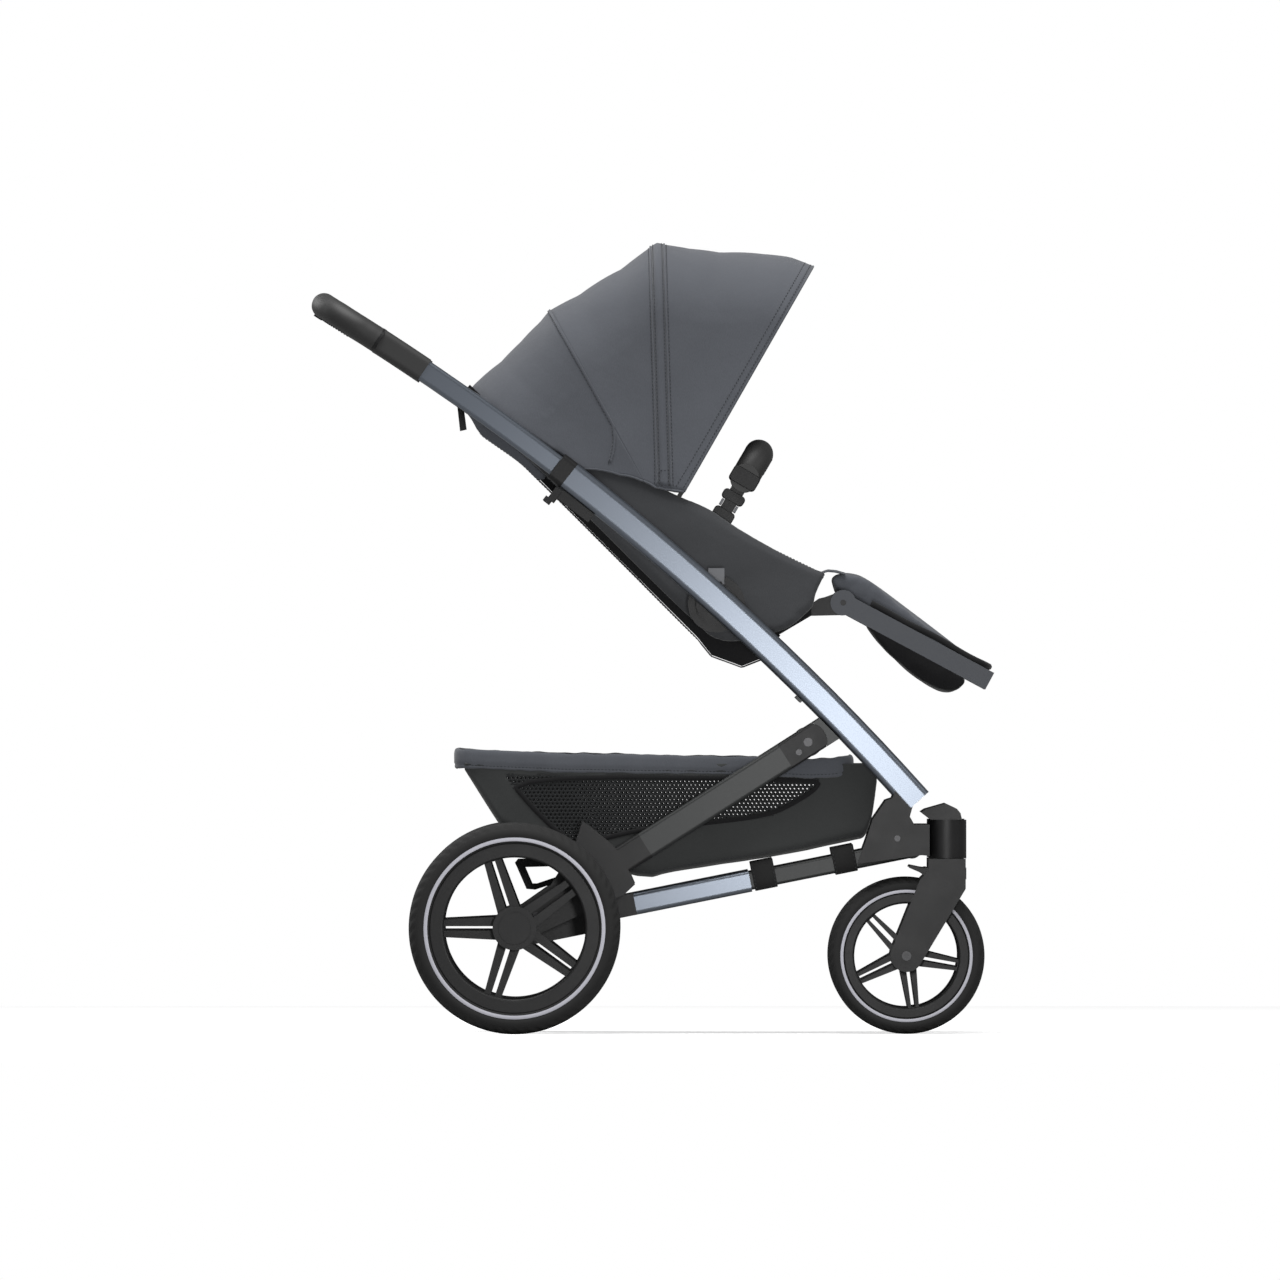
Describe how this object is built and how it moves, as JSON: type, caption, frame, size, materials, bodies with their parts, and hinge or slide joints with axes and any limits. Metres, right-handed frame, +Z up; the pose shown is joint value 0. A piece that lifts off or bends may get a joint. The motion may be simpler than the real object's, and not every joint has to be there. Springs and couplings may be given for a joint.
{
  "type": "jogging stroller",
  "caption": "Folding pushchair with a curved telescopic chassis, lift-off reclining seat, folding hood, bumper bar, calf rest and mesh basket.",
  "frame": {"origin": "on the floor, under the middle of the whole pushchair", "axes": "+X forward, +Y to the pushchair's left, +Z up"},
  "size_m": [0.9364, 0.588, 1.0838],
  "materials": {
    "anodised_tube": "satin anodised",
    "graphite_tube": "matt painted",
    "black_plastic": "fine moulded grain",
    "grey_plastic": "smooth moulded",
    "steel_pin": "turned",
    "spring_bow": "smooth",
    "leatherette": "fine leather grain",
    "tyre_rubber": "matt rubber",
    "grey_cloth": "dense plain weave",
    "dark_cloth": "open weave",
    "webbing": "woven webbing"
  },
  "bodies": {
    "chassis": {"main_tubes": "anodised_tube", "tube_collars": "black_plastic", "front_hub": "black_plastic", "swivel_caps": "black_plastic", "leg_brackets": "graphite_tube", "pivot_pins": "steel_pin", "seat_adapters": "black_plastic"},
    "latch_left": {"fold_latch_left": "black_plastic"},
    "latch_right": {"fold_latch_right": "black_plastic"},
    "handle": {"handle_tubes": "anodised_tube", "handle_sleeves": "leatherette", "handle_grip": "leatherette"},
    "handle_release": {"handle_button": "black_plastic"},
    "rear_frame": {"rear_legs": "graphite_tube", "leg_fittings": "black_plastic", "rear_axle": "steel_pin"},
    "rear_wheel_left": {"rear_tyre_left": "tyre_rubber", "rear_rim_left": "black_plastic"},
    "rear_wheel_right": {"rear_tyre_right": "tyre_rubber", "rear_rim_right": "black_plastic"},
    "wheel_release_left": {"hub_button_left": "black_plastic"},
    "wheel_release_right": {"hub_button_right": "black_plastic"},
    "brake": {"brake_pedal": "black_plastic"},
    "rail_front": {"rail_inner_tubes": "graphite_tube", "basket_shell": "dark_cloth", "basket_rim": "grey_cloth", "basket_straps": "webbing"},
    "rail_rear": {"rail_outer_tubes": "anodised_tube", "rail_end_housings": "black_plastic"},
    "fork_left": {"front_fork_left": "black_plastic"},
    "fork_right": {"front_fork_right": "black_plastic"},
    "front_wheel_left": {"front_tyre_left": "tyre_rubber", "front_rim_left": "black_plastic"},
    "front_wheel_right": {"front_tyre_right": "tyre_rubber", "front_rim_right": "black_plastic"},
    "lock_left": {"swivel_lock_left": "black_plastic"},
    "lock_right": {"swivel_lock_right": "black_plastic"},
    "fork_release_left": {"fork_button_left": "grey_plastic"},
    "fork_release_right": {"fork_button_right": "grey_plastic"},
    "seat_base": {"seat_hubs": "black_plastic"},
    "seat_release": {"seat_buttons": "grey_plastic"},
    "seat": {"seat_shell": "dark_cloth", "seat_cushion": "grey_cloth", "side_wings": "grey_cloth", "harness": "webbing", "calf_brackets": "black_plastic", "bumper_adapters": "black_plastic", "canopy_hinges": "black_plastic"},
    "recline": {"recline_handle": "black_plastic"},
    "calf_rest": {"calf_frame": "anodised_tube", "calf_pad": "grey_cloth", "calf_backing": "dark_cloth"},
    "bumper": {"bumper_bar": "leatherette"},
    "bumper_release": {"bumper_buttons": "grey_plastic"},
    "hood_rear": {"canopy_rear_bow": "spring_bow", "canopy_rear_panel": "grey_cloth"},
    "hood_mid": {"canopy_mid_bow": "spring_bow", "canopy_mid_panel": "grey_cloth"},
    "hood_front": {"canopy_front_bow": "spring_bow", "canopy_front_panel": "grey_cloth"}
  },
  "joints": [
    {"name": "handle_telescope", "type": "hinge", "parent": "chassis", "child": "handle", "pos_m": [-2.35565, 0, -2.11234], "axis": [0, 1, 0], "range_deg": [-0.78, 2.35]},
    {"name": "handle_button_press", "type": "slide", "parent": "handle", "child": "handle_release", "axis": [0.5362, 0, 0.8441], "range_m": [0, 0.0018], "stiffness_N_per_m": 400},
    {"name": "fold_latch_left_pull", "type": "slide", "parent": "chassis", "child": "latch_left", "axis": [-0.789, 0, 0.6144], "range_m": [0, 0.012], "stiffness_N_per_m": 400},
    {"name": "fold_latch_right_pull", "type": "slide", "parent": "chassis", "child": "latch_right", "axis": [-0.789, 0, 0.6144], "range_m": [0, 0.012], "stiffness_N_per_m": 400},
    {"name": "fold", "type": "hinge", "parent": "chassis", "child": "rear_frame", "pos_m": [0.2126, 0, 0.4], "axis": [0, 1, 0], "range_deg": [0, 45], "deforming": ["basket_shell", "basket_rim", "basket_straps"]},
    {"name": "fold_rail_turn", "type": "hinge", "parent": "chassis", "child": "rail_front", "pos_m": [0.3551, 0, 0.254], "axis": [0, 1, 0], "range_deg": [0, 34]},
    {"name": "fold_rail_slide", "type": "slide", "parent": "rail_front", "child": "rail_rear", "axis": [-0.9805, 0, -0.1963], "range_m": [0, 0.1015]},
    {"name": "rear_wheel_left_spin", "type": "hinge", "parent": "rear_frame", "child": "rear_wheel_left", "pos_m": [-0.1894, 0.272, 0.145], "axis": [0, 1, 0], "continuous": true},
    {"name": "rear_wheel_right_spin", "type": "hinge", "parent": "rear_frame", "child": "rear_wheel_right", "pos_m": [-0.1894, -0.272, 0.145], "axis": [0, 1, 0], "continuous": true},
    {"name": "wheel_release_left_press", "type": "slide", "parent": "rear_wheel_left", "child": "wheel_release_left", "axis": [0, -1, 0], "range_m": [0, 0.001], "stiffness_N_per_m": 400},
    {"name": "wheel_release_right_press", "type": "slide", "parent": "rear_wheel_right", "child": "wheel_release_right", "axis": [0, 1, 0], "range_m": [0, 0.001], "stiffness_N_per_m": 400},
    {"name": "brake_press", "type": "hinge", "parent": "rear_frame", "child": "brake", "pos_m": [-0.1094, 0, 0.22], "axis": [0, -1, 0], "range_deg": [0, 16]},
    {"name": "front_swivel_left", "type": "hinge", "parent": "chassis", "child": "fork_left", "pos_m": [0.4036, 0.205, 0.24], "axis": [0, 0, 1], "continuous": true},
    {"name": "front_swivel_right", "type": "hinge", "parent": "chassis", "child": "fork_right", "pos_m": [0.4036, -0.205, 0.24], "axis": [0, 0, 1], "continuous": true},
    {"name": "front_wheel_left_spin", "type": "hinge", "parent": "fork_left", "child": "front_wheel_left", "pos_m": [0.3476, 0.205, 0.107], "axis": [0, 1, 0], "continuous": true},
    {"name": "front_wheel_right_spin", "type": "hinge", "parent": "fork_right", "child": "front_wheel_right", "pos_m": [0.3476, -0.205, 0.107], "axis": [0, 1, 0], "continuous": true},
    {"name": "swivel_lock_left_flip", "type": "hinge", "parent": "fork_left", "child": "lock_left", "pos_m": [0.3746, 0.205, 0.2219], "axis": [0, 1, 0], "range_deg": [0, 14]},
    {"name": "swivel_lock_right_flip", "type": "hinge", "parent": "fork_right", "child": "lock_right", "pos_m": [0.3746, -0.205, 0.2219], "axis": [0, 1, 0], "range_deg": [0, 14]},
    {"name": "fork_release_left_press", "type": "slide", "parent": "fork_left", "child": "fork_release_left", "axis": [-1, 0, 0], "range_m": [0, 0.0002], "stiffness_N_per_m": 400},
    {"name": "fork_release_right_press", "type": "slide", "parent": "fork_right", "child": "fork_release_right", "axis": [-1, 0, 0], "range_m": [0, 0.0002], "stiffness_N_per_m": 400},
    {"name": "seat_lift_off", "type": "slide", "parent": "chassis", "child": "seat_base", "axis": [0, 0, 1], "range_m": [0, 0.6]},
    {"name": "seat_release_pull", "type": "slide", "parent": "seat_base", "child": "seat_release", "axis": [0, 0, 1], "range_m": [0, 0.004], "stiffness_N_per_m": 400},
    {"name": "seat_tilt", "type": "hinge", "parent": "seat_base", "child": "seat", "pos_m": [0.0871, 0, 0.589], "axis": [0, 1, 0], "range_deg": [-20, 12]},
    {"name": "recline_pull", "type": "slide", "parent": "seat", "child": "recline", "axis": [-0.7433, 0, 0.669], "range_m": [0, 0.006], "stiffness_N_per_m": 400},
    {"name": "calf_rest_tilt", "type": "hinge", "parent": "seat", "child": "calf_rest", "pos_m": [0.2611, 0, 0.591], "axis": [0, 1, 0], "range_deg": [-24, 25]},
    {"name": "bumper_swing", "type": "hinge", "parent": "seat", "child": "bumper", "pos_m": [0.1261, 0, 0.762], "axis": [0, 1, 0], "range_deg": [-15, 55]},
    {"name": "bumper_release_press", "type": "slide", "parent": "seat", "child": "bumper_release", "axis": [0.5045, 0, 0.8634], "range_m": [0, 0.004], "stiffness_N_per_m": 400},
    {"name": "hood_fold", "type": "hinge", "parent": "seat", "child": "hood_rear", "pos_m": [0.0171, 0, 0.704], "axis": [0, 1, 0], "range_deg": [-18, 0], "deforming": ["canopy_rear_panel", "canopy_mid_panel", "canopy_front_panel"]},
    {"name": "hood_fold_mid", "type": "hinge", "parent": "hood_rear", "child": "hood_mid", "pos_m": [0.0171, 0, 0.704], "axis": [0, 1, 0], "range_deg": [-22, 0]},
    {"name": "hood_fold_front", "type": "hinge", "parent": "hood_mid", "child": "hood_front", "pos_m": [0.0171, 0, 0.704], "axis": [0, 1, 0], "range_deg": [-26, 0]}
  ],
  "couplings": [
    {"joint": "fold_rail_turn", "follows": "fold", "ratio": 0.74885},
    {"joint": "fold_rail_slide", "follows": "fold", "m_per_rad": 0.12886},
    {"joint": "hood_fold_mid", "follows": "hood_fold", "ratio": 1.22},
    {"joint": "hood_fold_front", "follows": "hood_fold", "ratio": 1.44}
  ]
}
